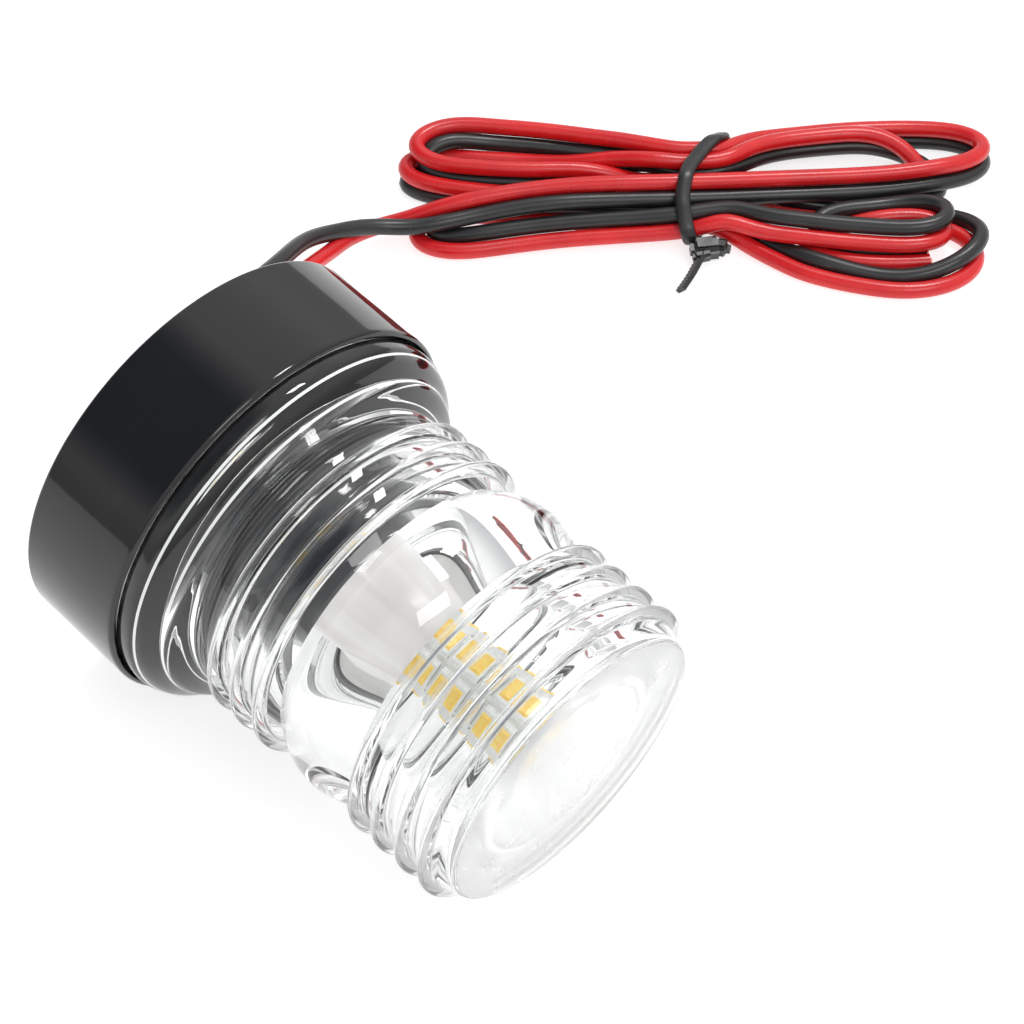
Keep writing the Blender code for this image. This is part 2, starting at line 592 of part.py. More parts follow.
# Cable tie: a band around the waist, its head low on the near side, its tail
in_loop = rounded(WAIST_V0 - 0.3, WAIST_Z0 - 0.3, WAIST_V1 + 0.3, WAIST_Z1 + 0.3, 0.8)
out_loop = rounded(WAIST_V0 - 1.4, WAIST_Z0 - 1.4, WAIST_V1 + 1.4, WAIST_Z1 + 1.4, 1.9)
tie = flat_outline("cable_tie", [out_loop, in_loop], 0.5 * TIE_W, M_TIE)
tie.location = (HANK_C[0] * MM, HANK_C[1] * MM, 0.0)
tie.rotation_euler = (math.radians(90.0), 0.0, math.radians(HANK_TURN + 90.0))
bpy.context.view_layer.update()
tie = curve_to_mesh(tie)
for nm, size, at, rot in (
        ("tie_head", (5.6, 4.4, 5.0), (0.6, WAIST_V0 - 2.9, 3.4), (0.0, 0.0, 0.0)),
        ("tie_tail", (2.6, 9.0, 1.2), (-0.6, WAIST_V0 - 7.6, 2.0), (0.12, 0.0, -0.25))):
    bpy.ops.mesh.primitive_cube_add(size=1.0)
    cb = bpy.context.object
    cb.name = cb.data.name = nm
    cb.data.transform(Matrix.Diagonal((size[0] * MM, size[1] * MM,
                                       size[2] * MM, 1.0)))
    own(cb, None, parent=None, coll=cutters)
    cb.location = [c * MM for c in on_hank(*at)]
    cb.rotation_euler = (rot[0], rot[1], rot[2] + math.radians(HANK_TURN))
    bo = tie.modifiers.new("join_" + nm, 'BOOLEAN')
    bo.operation = 'UNION'
    bo.solver = 'EXACT'
    bo.object = cb

for ob in parts.objects:
    if ob.type == 'MESH':
        ob.data.shade_smooth()
        ob.data.set_sharp_from_angle(angle=math.radians(35.0))
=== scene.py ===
"""Navigation light: clear ribbed lens on a gloss black base, with its twin lead in a tied hank."""

import math

import bmesh
import bpy
import numpy as np
from mathutils import Matrix, Vector


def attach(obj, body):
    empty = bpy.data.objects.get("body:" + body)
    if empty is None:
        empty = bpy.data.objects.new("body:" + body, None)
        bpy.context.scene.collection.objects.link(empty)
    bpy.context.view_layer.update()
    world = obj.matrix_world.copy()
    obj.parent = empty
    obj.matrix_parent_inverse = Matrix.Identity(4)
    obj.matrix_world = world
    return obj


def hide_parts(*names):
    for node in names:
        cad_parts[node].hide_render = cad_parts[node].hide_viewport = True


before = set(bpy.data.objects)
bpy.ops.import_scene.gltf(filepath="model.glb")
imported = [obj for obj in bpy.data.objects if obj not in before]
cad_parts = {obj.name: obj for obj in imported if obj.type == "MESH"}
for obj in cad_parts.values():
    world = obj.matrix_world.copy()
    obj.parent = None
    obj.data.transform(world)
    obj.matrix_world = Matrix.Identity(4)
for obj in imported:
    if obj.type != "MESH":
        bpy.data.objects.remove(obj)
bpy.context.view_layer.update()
scene = bpy.context.scene
MM = 0.001

# ------------------------------------------------------------------ camera
cam_data = bpy.data.cameras.new("camera")
cam_data.lens, cam_data.sensor_width = 111.92, 36.0
cam_data.clip_start, cam_data.clip_end = 0.01, 20.0
cam = bpy.data.objects.new("camera", cam_data)
scene.collection.objects.link(cam)
view = Vector((-0.46188927, 0.47013953, -0.75208186)).normalized()
right = Vector((0.7133381, 0.70082006, 0.0)).normalized()
up = right.cross(view).normalized()
cam.matrix_world = Matrix(((right.x, up.x, -view.x, 0.202957),
                           (right.y, up.y, -view.y, -0.180527),
                           (right.z, up.z, -view.z, 0.354309),
                           (0.0, 0.0, 0.0, 1.0)))
scene.camera = cam

# ------------------------------------------------- the object's own frames
TILT = math.atan((30.15 - 24.05) / ((55.75 + 3 * 4.27) - 16.4))
CT, ST = math.cos(TILT), math.sin(TILT)
AXIS_H = 30.15 * CT + 16.4 * ST
X_BACK = -35.412225
AXIS = Matrix.Translation((X_BACK * MM, 0.0, AXIS_H * MM)) @ \
    Matrix.Rotation(math.pi / 2 + TILT, 4, 'Y')


def on_axis(x, y, z):
    return (X_BACK - x * ST + z * CT, y, AXIS_H - x * CT - z * ST)


HANK_C = np.array([-37.4, 107.7])
HC, HS = math.cos(math.radians(47.1)), math.sin(math.radians(47.1))
ALONG, ACROSS = np.array([HC, HS]), np.array([-HS, HC])


def hank_to_world(p):
    p = np.atleast_2d(np.asarray(p, float))
    return np.c_[HANK_C + p[:, :1] * ALONG + p[:, 1:2] * ACROSS, p[:, 2]]


def world_to_hank(p):
    q = p[..., :2] - HANK_C
    return np.stack([q @ ALONG, q @ ACROSS, p[..., 2]], -1)


# ------------------------------------------------------------------- leads
WIRE_D = 2.66            # insulated diameter, mm
LAY_D = 2.7              # distance kept between wires while they settle
LAY_R = LAY_D / 2

LEAD_BLACK = [on_axis(0, -1.6, -0.35), on_axis(0, -1.6, -6.0), (-49, 3.4, 31.6),
              (-56.0, 16.0, 25.6), (-62.2, 30, 18.8), (-66.2, 42.6, 14.9),
              (-70.2, 52.1, 10.6), (-70.8, 58.8, 7.5), (-69.2, 65.1, 5.5)]
LEAD_RED = [on_axis(0, 1.6, -0.35), on_axis(0, 1.6, -5.5), (-47, 7.4, 29.6),
            (-52.8, 18.5, 23.6), (-59.0, 31, 16.6), (-64.0, 42, 12.1),
            (-67.4, 51.5, 8.4), (-70.2, 60, 4.6), (-71.2, 66.8, 2.6)]

# The twin lead through the hank: along, across, height of its middle, and
# how far the red wire is turned about the run from straight above the black.
PASSES = [
    # in from the light and out to the first right-hand loop
    (-47.5, -4.9, 3.4, -85), (-43, -3.7, 4.3, -70), (-37, -2.5, 5.4, -62),
    (-29, -1.4, 6.2, -60), (-20.8, -1.0, 6.6, -58), (-12.8, -1.0, 6.7, -52),
    (-5, -.9, 6.5, -45), (0, -.75, 6.2, -40), (5, -.6, 6.2, -38),
    (15, -.4, 6.1, -32), (26, .3, 5.65, -31), (34.3, 1.45, 5.2, -24),
    (39.5, 2.5, 5.0, -20), (43.2, 3.9, 4.8, -18),
    # back along the top
    (45.9, 6.0, 4.4, -15), (46.9, 8.3, 3.9, -8), (46.0, 10.8, 3.5, 0),
    (43.3, 12.7, 3.3, 0), (38.1, 14.2, 2.9, 0), (32.5, 14.8, 2.7, 0),
    (27.2, 14.8, 2.75, 0), (21, 14.3, 2.9, 0), (16, 13.5, 3.1, 0),
    (10, 11.9, 3.9, 0), (5, 10.1, 5.0, 0), (0, 7.8, 6.1, 0),
    (-5, 8.3, 6.1, 5), (-11, 9.5, 6.1, 15), (-18, 11.0, 6.1, 28),
    (-25.5, 12.3, 6.3, 38), (-32.5, 13.4, 6.4, 42), (-39, 13.5, 6.4, 40),
    (-43.2, 12.8, 6.2, 36), (-45.6, 11.4, 5.9, 30), (-45.9, 9.7, 5.6, 24),
    (-44.5, 8.2, 5.4, 15), (-42, 7.3, 5.3, 5), (-36.5, 5.9, 5.25, -10),
    # second pass to the right
    (-29.6, 4.9, 5.2, -10), (-20.5, 4.6, 4.8, -25), (-12, 4.9, 3.8, -55),
    (-5, 5.0, 2.8, -80), (0, 4.97, 2.5, -90), (6, 4.6, 2.2, -90),
    (14, 3.6, 1.7, -88), (22, 2.5, 1.45, -86), (28, 1.6, 1.4, -85),
    (33, 1.0, 1.5, -85), (36.2, 1.2, 1.4, -90), (38, 2.6, 1.4, -88),
    (38.3, 4.7, 1.6, -80), (37, 6.8, 2.1, -60), (34.9, 8.6, 3.0, -35),
    (32, 10.6, 3.9, -10), (28.7, 11.8, 4.4, 0), (21.5, 11.5, 4.6, 0),
    (13.2, 10.1, 5.1, 0), (7, 7.9, 5.5, 4), (3, 5.9, 5.9, 4),
    (0, 5.1, 6.15, 0), (-6, 5.2, 5.9, 0), (-14, 6.7, 4.6, 0),
    (-22, 8.8, 3.2, 0), (-30, 10.2, 2.7, 0), (-38, 11.0, 2.7, 0),
    (-44, 11.3, 2.7, 0), (-47.6, 10.2, 2.7, 0), (-48.3, 8.6, 2.7, 0),
    (-47.4, 7.0, 2.7, 0), (-44.8, 5.6, 2.7, 0), (-41, 4.5, 2.7, 0),
    # third pass to the right, low, to the big near loop
    (-37, 3.6, 2.7, 5), (-30, 2.8, 2.6, 15), (-22, 2.4, 2.4, 35),
    (-12, 2.3, 2.5, 72), (-5, 1.9, 3.3, 125), (0, 1.65, 3.7, 150),
    (5, 1.1, 3.1, 140), (10, .3, 2.2, 112), (14, -.4, 1.7, 95),
    (20, -1.5, 1.4, 90), (26, -2.8, 1.35, 90), (31, -3.7, 1.35, 90),
    (36, -4.3, 1.35, 92), (39.5, -5.4, 1.5, 98), (42, -7.4, 1.9, 115),
    (43.3, -9.8, 2.3, 145), (43.0, -12.6, 2.5, 180), (41, -15.4, 2.4, 215),
    (37.5, -17.5, 2.1, 240), (33, -18.7, 1.8, 255), (28, -18.5, 1.6, 262),
    (22, -16.4, 1.5, 268), (15, -12.7, 1.5, 270), (9, -9.2, 1.5, 270),
    (5, -6.6, 1.8, 270), (0, -3.0, 2.5, 270), (-6, -2.0, 2.3, 262),
    (-14, -1.6, 2.2, 240), (-22, -1.0, 2.4, 205), (-30, -.8, 2.5, 180),
    (-37, -.6, 2.4, 160), (-42, -.8, 2.2, 140), (-45.0, -2.0, 2.0, 125),
    (-45.8, -4.0, 1.95, 118), (-44.0, -5.8, 2.0, 118), (-40.4, -6.7, 2.1, 120),
    # last pass to the right, folded back at its end
    (-36, -6.6, 2.2, 125), (-30, -6.0, 2.4, 128), (-22, -5.6, 2.9, 132),
    (-14, -5.6, 3.3, 134), (-6, -5.8, 3.9, 134), (0, -6.0, 4.2, 134),
    (5, -6.8, 4.6, 134), (10, -8.0, 4.9, 134), (20, -9.9, 4.9, 135),
    (28, -10.9, 4.8, 137), (34, -11.4, 4.7, 145), (37.2, -10.6, 4.7, 160),
    (38.7, -8.4, 4.7, 185), (38.2, -6.2, 4.6, 215), (36.0, -4.9, 4.4, 240),
    (32, -4.6, 4.1, 258), (26, -4.7, 3.6, 262), (20.6, -5.2, 2.7, 225),
    (16.8, -6.4, 2.4, 180), (15.4, -8.2, 2.0, 130), (16.4, -10.2, 1.5, 100),
    (19.4, -11.6, 1.35, 90), (25, -12.2, 1.35, 90), (35, -12.5, 1.35, 90)]


def spaced(P, step):
    """Points at even steps on a centripetal Catmull-Rom line; extra columns go along."""
    P = np.asarray(P, float)
    P = np.vstack([2 * P[0] - P[1], P, 2 * P[-1] - P[-2]])
    out = []
    for i in range(1, len(P) - 2):
        p0, p1, p2, p3 = P[i - 1:i + 3]
        gap = lambda a, b: max(np.linalg.norm((a - b)[:3]) ** .5, 1e-6)
        t1 = gap(p0, p1)
        t2 = t1 + gap(p1, p2)
        t3 = t2 + gap(p2, p3)
        for k in range(20):
            t = t1 + (t2 - t1) * k / 20
            a1 = p0 * (t1 - t) / t1 + p1 * t / t1
            a2 = p1 * (t2 - t) / (t2 - t1) + p2 * (t - t1) / (t2 - t1)
            a3 = p2 * (t3 - t) / (t3 - t2) + p3 * (t - t2) / (t3 - t2)
            b1 = a1 * (t2 - t) / t2 + a2 * t / t2
            b2 = a2 * (t3 - t) / (t3 - t1) + a3 * (t - t1) / (t3 - t1)
            out.append(b1 * (t2 - t) / (t2 - t1) + b2 * (t - t1) / (t2 - t1))
    out.append(P[-2])
    out = np.array(out)
    s = np.r_[0, np.cumsum(np.linalg.norm(np.diff(out[:, :3], axis=0), axis=1))]
    q = np.linspace(0, s[-1], int(round(s[-1] / step)) + 1)
    return np.stack([np.interp(q, s, out[:, j]) for j in range(out.shape[1])], 1)


def along_rows(A, k):
    w = np.hanning(2 * k + 3)[1:-1]
    w /= w.sum()
    P = np.pad(A, ((0, 0), (k, k), (0, 0)), mode='edge')
    out = np.zeros_like(A)
    for i, wi in enumerate(w):
        out += wi * P[:, i:i + A.shape[1]]
    return out


def settle_leads(rounds=420):
    """Both wires of the lead, settled: kept apart, on the floor, bonded to each other in the hank, and gathered where the tie holds them."""
    c = spaced(PASSES, 1.0)
    t = np.gradient(c[:, :3], axis=0)
    t /= np.linalg.norm(t, axis=1, keepdims=True)
    n = np.cross(t, [0, 0, 1.0])
    n /= np.linalg.norm(n, axis=1, keepdims=True)
    zp = np.cross(n, t)
    al = np.radians(c[:, 3:4])
    d = np.cos(al) * zp + np.sin(al) * n
    red = hank_to_world(c[:, :3] + d * LAY_R)
    blk = hank_to_world(c[:, :3] - d * LAY_R)
    lr = spaced(np.vstack([LEAD_RED, red[3:4]]), 1.0)
    lb = spaced(np.vstack([LEAD_BLACK, blk[3:4]]), 1.0)
    n_lead = max(len(lr), len(lb))

    def evenly(p):
        s = np.r_[0, np.cumsum(np.linalg.norm(np.diff(p, axis=0), axis=1))]
        q = np.linspace(0, s[-1], n_lead)
        return np.stack([np.interp(q, s, p[:, j]) for j in range(3)], 1)

    lr, lb = evenly(lr)[:-1], evenly(lb)[:-1]
    X = np.stack([np.vstack([lr, red[3:]]), np.vstack([lb, blk[3:]])])
    n0 = n_lead - 16
    home = along_rows(X, 3)
    home[:, :8] = X[:, :8]
    home[:, -4:] = X[:, -4:]
    X = home.copy()
    N = X.shape[1]
    idx = np.arange(N)
    M = 2 * N
    pos = np.tile(idx, 2)
    I, J = np.triu_indices(M, 1)
    keep = np.abs(pos[I] - pos[J]) >= int(3.4 * LAY_D)
    I, J = I[keep], J[keep]
    bond = idx >= n0
    for it in range(rounds):
        last = it > rounds * .8
        for _ in range(3 if last else 6):
            m = X[:, :-2] + X[:, 2:] - 2 * X[:, 1:-1]
            G = np.zeros_like(X)
            G[:, 1:-1] += 2 * m
            G[:, :-2] -= m
            G[:, 2:] -= m
            G *= .055
            G[:, :6] = 0
            G[:, -1:] *= .3
            X = X + G
        X += (home - X) * (.03 if it < rounds * .4 else (.003 if last else .01))
        if it % 6 == 0:
            F = X.reshape(M, 3)
            dd = F[I] - F[J]
            near = (dd * dd).sum(1) < (LAY_D + 2.2) ** 2
            In, Jn = I[near], J[near]
        for _ in range(3):
            F = X.reshape(M, 3)
            dd = F[In] - F[Jn]
            L = np.sqrt((dd * dd).sum(1)) + 1e-9
            push = np.clip(LAY_D * 1.01 - L, 0, None) * .5
            m = push > 0
            g = dd[m] / L[m, None] * push[m, None]
            A = np.zeros_like(F)
            W = np.zeros(M)
            np.add.at(A, In[m], g)
            np.add.at(A, Jn[m], -g)
            np.add.at(W, In[m], 1)
            np.add.at(W, Jn[m], 1)
            A = (A / np.maximum(W, 1)[:, None]).reshape(2, N, 3)
            A = .88 * along_rows(A, 5) + .35 * A
            A[:, :6] = 0
            X = X + A
            b = X[0] - X[1]
            L = np.linalg.norm(b, axis=1) + 1e-9
            tgt = np.where(bond, LAY_D, np.maximum(L, LAY_D * 1.01))
            e = ((L - tgt) / L * .5)[:, None] * b
            E = np.stack([-e, e])
            E = .5 * along_rows(E, 3) + .5 * E
            E[:, :6] = 0
            X = X + E
            lift = np.clip(LAY_R - X[..., 2], 0, None)[..., None] * np.array([0, 0, 1.])
            X = X + .5 * along_rows(lift, 4) + .5 * lift
            X[..., 2] = np.maximum(X[..., 2], LAY_R - .02)
            h = (X[..., :2] - HANK_C) @ ALONG
            v = (X[..., :2] - HANK_C) @ ACROSS
            k = np.clip(1 - (np.abs(h) - 1.6) / 2.6, 0, 1) * (pos.reshape(2, N) > n0 + 20)
            T = np.zeros_like(X)
            T[..., 2] = k * (np.clip(LAY_R + 1.15 - X[..., 2], 0, None)
                             - np.clip(X[..., 2] - (8.8 - LAY_R), 0, None))
            dv = k * (np.clip(-8.4 + LAY_R - v, 0, None) - np.clip(v - (9.1 - LAY_R), 0, None))
            T[..., 0] = dv * ACROSS[0]
            T[..., 1] = dv * ACROSS[1]
            X = X + .6 * T
    return X


wires = settle_leads()
LEADS = {"red": spaced(wires[0], 0.7), "black": spaced(wires[1], 0.7)}


# --------------------------------------------------------------- materials
def nodes_of(name):
    m = bpy.data.materials.new("look_" + name)
    m.use_nodes = True
    nt = m.node_tree
    nt.nodes.clear()
    out = nt.nodes.new("ShaderNodeOutputMaterial")
    p = nt.nodes.new("ShaderNodeBsdfPrincipled")
    nt.links.new(p.outputs[0], out.inputs[0])
    return m, nt, p


def coords(nt):
    t = nt.nodes.new("ShaderNodeTexCoord")
    return t.outputs["Object"]


def noise(nt, scale, detail=4.0, rough=0.55, vec=None, dist=0.0):
    n = nt.nodes.new("ShaderNodeTexNoise")
    n.inputs["Scale"].default_value = scale
    n.inputs["Detail"].default_value = detail
    n.inputs["Roughness"].default_value = rough
    n.inputs["Distortion"].default_value = dist
    nt.links.new(vec if vec is not None else coords(nt), n.inputs["Vector"])
    return n.outputs["Fac"]


def span(nt, value, lo, hi, a=0.3, b=0.7):
    n = nt.nodes.new("ShaderNodeMapRange")
    n.inputs["From Min"].default_value = a
    n.inputs["From Max"].default_value = b
    n.inputs["To Min"].default_value = lo
    n.inputs["To Max"].default_value = hi
    nt.links.new(value, n.inputs["Value"])
    return n.outputs["Result"]


def mix(nt, fac, a, b):
    n = nt.nodes.new("ShaderNodeMix")
    n.data_type = 'RGBA'
    for key, val in ((6, a), (7, b)):
        if isinstance(val, tuple):
            n.inputs[key].default_value = (*val, 1.0)
        else:
            nt.links.new(val, n.inputs[key])
    nt.links.new(fac, n.inputs[0])
    return n.outputs[2]


def maths(nt, op, a, b=None):
    n = nt.nodes.new("ShaderNodeMath")
    n.operation = op
    for i, v in enumerate((a, b)):
        if v is None:
            continue
        if isinstance(v, (int, float)):
            n.inputs[i].default_value = v
        else:
            nt.links.new(v, n.inputs[i])
    return n.outputs[0]


def bump(nt, p, height, strength, distance=0.0002):
    b = nt.nodes.new("ShaderNodeBump")
    b.inputs["Strength"].default_value = strength
    b.inputs["Distance"].default_value = distance
    nt.links.new(height, b.inputs["Height"])
    nt.links.new(b.outputs[0], p.inputs["Normal"])


def plain(name, lo, hi, rough=(0.3, 0.45), metal=0.0, scale=300.0, relief=0.15,
          fine=1800.0, ior=1.5, dist=0.0001, speck=None, sss=0.0, spec=None):
    """A moulded, cast or turned finish: two tones, uneven roughness, fine relief."""
    m, nt, p = nodes_of(name)
    n1 = noise(nt, scale, 5.0)
    col = mix(nt, span(nt, n1, 0.0, 1.0), lo, hi)
    if speck:
        s = noise(nt, speck[1], 2.0, 0.5)
        col = mix(nt, span(nt, s, 0.0, 1.0, speck[2], speck[2] + 0.02), col, speck[0])
    nt.links.new(col, p.inputs["Base Color"])
    nt.links.new(span(nt, noise(nt, scale * 0.37, 6.0), rough[0], rough[1]), p.inputs["Roughness"])
    p.inputs["Metallic"].default_value = metal
    p.inputs["IOR"].default_value = ior
    if spec is not None:
        p.inputs["Specular IOR Level"].default_value = spec
    if sss:
        p.inputs["Subsurface Weight"].default_value = sss
        p.inputs["Subsurface Radius"].default_value = (0.0012, 0.0004, 0.0004)
        p.inputs["Subsurface Scale"].default_value = 1.0
    bump(nt, p, noise(nt, fine, 3.0), relief, dist)
    return m


LOOK = {
    "gloss_black_abs": plain("gloss_black_abs", (0.0035, 0.0035, 0.004), (0.006, 0.006, 0.0065),
                             (0.045, 0.10), scale=60.0, relief=0.03, fine=700.0, ior=1.53,
                             speck=((0.28, 0.28, 0.28), 900.0, 0.80)),
    "black_abs": plain("black_abs", (0.012, 0.012, 0.013), (0.022, 0.022, 0.023), (0.42, 0.58),
                       scale=400.0, relief=0.5, fine=3500.0),
    "black_rubber": plain("black_rubber", (0.012, 0.012, 0.012), (0.03, 0.03, 0.029), (0.55, 0.75),
                          scale=350.0, relief=0.35, fine=2600.0),
    "seal_silicone": plain("seal_silicone", (0.010, 0.010, 0.010), (0.02, 0.02, 0.02), (0.3, 0.45),
                           scale=500.0, relief=0.2, fine=2500.0),
    "stainless_steel": plain("stainless_steel", (0.50, 0.50, 0.49), (0.66, 0.66, 0.64), (0.18, 0.34),
                             metal=1.0, scale=900.0, relief=0.12, fine=5000.0),
    "brass": plain("brass", (0.55, 0.38, 0.15), (0.72, 0.53, 0.26), (0.22, 0.4), metal=1.0,
                   scale=800.0, relief=0.12, fine=4000.0),
    "white_solder_mask": plain("white_solder_mask", (0.70, 0.71, 0.69), (0.82, 0.82, 0.80), (0.25, 0.4),
                               scale=250.0, relief=0.15, fine=3000.0),
    "post_board": plain("post_board", (0.66, 0.66, 0.62), (0.80, 0.80, 0.76), (0.3, 0.45),
                        scale=350.0, relief=0.2, fine=3000.0),
    "moulded_ic_body": plain("moulded_ic_body", (0.015, 0.015, 0.016), (0.035, 0.035, 0.036), (0.45, 0.6),
                             scale=900.0, relief=0.4, fine=5000.0),
    "capacitor_sleeve": plain("capacitor_sleeve", (0.02, 0.03, 0.06), (0.04, 0.05, 0.10), (0.25, 0.4),
                              scale=500.0, relief=0.1, fine=2500.0),
    "ferrite": plain("ferrite", (0.03, 0.03, 0.032), (0.07, 0.07, 0.07), (0.5, 0.75),
                     scale=1200.0, relief=0.6, fine=6000.0),
    "red_pvc": plain("red_pvc", (0.56, 0.008, 0.012), (0.70, 0.016, 0.018), (0.20, 0.32),
                     scale=160.0, relief=0.10, fine=900.0, sss=0.12),
    "black_pvc": plain("black_pvc", (0.010, 0.010, 0.011), (0.020, 0.020, 0.021), (0.24, 0.38),
                       scale=160.0, relief=0.10, fine=900.0),
    "black_nylon": plain("black_nylon", (0.010, 0.010, 0.010), (0.020, 0.020, 0.020), (0.28, 0.42),
                         scale=700.0, relief=0.15, fine=2600.0),
    "copper": plain("copper", (0.70, 0.30, 0.16), (0.86, 0.44, 0.26), (0.2, 0.38), metal=1.0,
                    scale=1500.0, relief=0.1, fine=6000.0),
    "led_frame": plain("led_frame", (0.72, 0.72, 0.70), (0.84, 0.84, 0.82), (0.3, 0.45),
                       scale=900.0, relief=0.15, fine=4000.0),
}


def paint_glow(key, strength):
    """Painted glow: the part's own colour fed to emission, so a pale part that is no lamp looks lit."""
    p = next(n for n in LOOK[key].node_tree.nodes if n.type == 'BSDF_PRINCIPLED')
    src = p.inputs["Base Color"].links[0].from_socket
    LOOK[key].node_tree.links.new(src, p.inputs["Emission Color"])
    p.inputs["Emission Strength"].default_value = strength


# painted glow on the LED frames, the LED post board and the white solder mask
paint_glow("led_frame", 0.28)
paint_glow("post_board", 0.22)
paint_glow("white_solder_mask", 0.12)


def phosphor():
    m, nt, p = nodes_of("led_phosphor")
    n = noise(nt, 1400.0, 5.0)
    col = mix(nt, span(nt, n, 0.0, 1.0), (0.93, 0.56, 0.08), (1.0, 0.76, 0.20))
    nt.links.new(col, p.inputs["Base Color"])
    nt.links.new(span(nt, noise(nt, 500.0), 0.25, 0.45), p.inputs["Roughness"])
    # painted glow: the LEDs are unlit, the emission only brightens the phosphor
    nt.links.new(col, p.inputs["Emission Color"])
    p.inputs["Emission Strength"].default_value = 0.30
    bump(nt, p, n, 0.3, 0.00005)
    return m


def milky():
    m, nt, p = nodes_of("milky_acrylic")
    n = noise(nt, 220.0, 4.0)
    tone = mix(nt, span(nt, n, 0.0, 1.0), (0.78, 0.75, 0.74), (0.95, 0.94, 0.93))
    nt.links.new(tone, p.inputs["Base Color"])
    nt.links.new(span(nt, noise(nt, 90.0), 0.12, 0.26), p.inputs["Roughness"])
    # painted glow: emission makes the unlit cup look lit from within
    nt.links.new(tone, p.inputs["Emission Color"])
    p.inputs["Emission Strength"].default_value = 0.20
    p.inputs["Transmission Weight"].default_value = 0.34
    p.inputs["IOR"].default_value = 1.49
    bump(nt, p, noise(nt, 420.0, 3.0), 0.12, 0.0001)
    return m


def clear_plastic():
    """Clear polycarbonate with soft moulding waviness."""
    m, nt, p = nodes_of("clear_polycarbonate")
    co = coords(nt)
    n = noise(nt, 35.0, 3.0, vec=co)
    nt.links.new(mix(nt, span(nt, n, 0.0, 1.0), (0.965, 0.98, 0.978), (0.99, 0.995, 0.995)),
                 p.inputs["Base Color"])
    nt.links.new(span(nt, noise(nt, 70.0, 5.0, vec=co), 0.0, 0.02), p.inputs["Roughness"])
    p.inputs["Transmission Weight"].default_value = 1.0
    p.inputs["Specular IOR Level"].default_value = 0.34
    p.inputs["IOR"].default_value = 1.57
    bump(nt, p, noise(nt, 110.0, 2.0, vec=co), 0.025, 0.0003)
    return m


LOOK["led_phosphor"] = phosphor()
LOOK["milky_acrylic"] = milky()
LOOK["clear_polycarbonate"] = clear_plastic()
LOOK["lead_hank"] = LOOK["red_pvc"]


def frost(name="lens_end_satin", clear=0.80, painted_glow_by=0.05):
    """The flat end of the lens: the same plastic with a satin, slightly milky face and a painted glow by emission."""
    m, nt, p = nodes_of(name)
    co = coords(nt)
    n = noise(nt, 60.0, 4.0, vec=co)
    nt.links.new(mix(nt, span(nt, n, 0.0, 1.0), (0.95, 0.965, 0.96), (0.985, 0.99, 0.99)),
                 p.inputs["Base Color"])
    nt.links.new(span(nt, noise(nt, 300.0, 5.0, vec=co), 0.26, 0.34), p.inputs["Roughness"])
    p.inputs["Transmission Weight"].default_value = clear
    p.inputs["Emission Color"].default_value = (1.0, 1.0, 0.99, 1.0)
    # painted glow: emission on the unlit lens face
    p.inputs["Emission Strength"].default_value = painted_glow_by
    p.inputs["Specular IOR Level"].default_value = 0.3
    p.inputs["IOR"].default_value = 1.57
    bump(nt, p, noise(nt, 1300.0, 3.0, vec=co), 0.10, 0.00008)
    return m


LOOK["lens_end"] = frost()
# painted highlight: bright hairlines on the flange's step corners, by pale colour and emission
LOOK["lens_edge"] = frost("step_corner_painted_highlight", 0.35, 0.16)
# painted shade: the clear flange underside made near-black and almost unreflecting over the black base, darker than
# its lit look
LOOK["flange_underside_painted_shade"] = plain("flange_underside_painted_shade", (0.003, 0.003, 0.003), (0.006, 0.006, 0.006),
                                    (0.55, 0.7), scale=500.0, relief=0.2, fine=2500.0, spec=0.05)

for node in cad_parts.values():
    for s in node.material_slots:
        key = s.material.name.split(".")[0] if s.material else "black_abs"
        s.material = LOOK.get(key, LOOK["black_abs"])


# ------------------------------------------------------------------ shapes
def object_from(name, verts, faces, mats, face_mats=None, matrix=None, smooth=True, sharp=35.0):
    me = bpy.data.meshes.new(name)
    me.from_pydata([tuple(matrix @ Vector(v)) if matrix is not None else tuple(v) for v in verts], [], faces)
    for m in mats:
        me.materials.append(m)
    if face_mats is not None:
        me.polygons.foreach_set("material_index", face_mats)
    bm = bmesh.new()
    bm.from_mesh(me)
    bmesh.ops.recalc_face_normals(bm, faces=bm.faces)
    bm.to_mesh(me)
    bm.free()
    if smooth:
        me.shade_smooth()
        me.set_sharp_from_angle(angle=math.radians(sharp))
    ob = bpy.data.objects.new(name, me)
    scene.collection.objects.link(ob)
    return ob


def arc(cr, cz, ar, az, a0, a1, n):
    out = []
    for i in range(n + 1):
        a = math.radians(a0 + (a1 - a0) * i / n)
        out.append((cr + ar * math.cos(a), cz + az * math.sin(a)))
    return out


def turned(name, profile, steps, mats, pick=None, closed=True, matrix=AXIS, wobble=None, sharp=35.0):
    """A solid turned about the light's axis from an (r, z) outline in mm."""
    verts, faces, fm, rings = [], [], [], []
    for r, z in profile:
        if r <= 1e-6:
            rings.append([len(verts)])
            verts.append((0.0, 0.0, z * MM))
        else:
            ring = []
            for k in range(steps):
                a = 2 * math.pi * k / steps
                rr = r * (1.0 + (wobble(r, z, a) if wobble else 0.0))
                ring.append(len(verts))
                verts.append((rr * math.cos(a) * MM, rr * math.sin(a) * MM, z * MM))
            rings.append(ring)
    pairs = list(range(len(profile) - 1)) + ([-1] if closed else [])
    for i in pairs:
        a, b = rings[i], rings[(i + 1) % len(rings)]
        mi = pick(i, profile) if pick else 0
        for k in range(steps):
            k2 = (k + 1) % steps
            if len(a) == 1 and len(b) == 1:
                continue
            if len(a) == 1:
                faces.append((a[0], b[k], b[k2]))
            elif len(b) == 1:
                faces.append((a[k], b[0], a[k2]))
            else:
                faces.append((a[k], b[k], b[k2], a[k2]))
            fm.append(mi)
    return object_from(name, verts, faces, mats, fm, matrix, sharp=sharp)


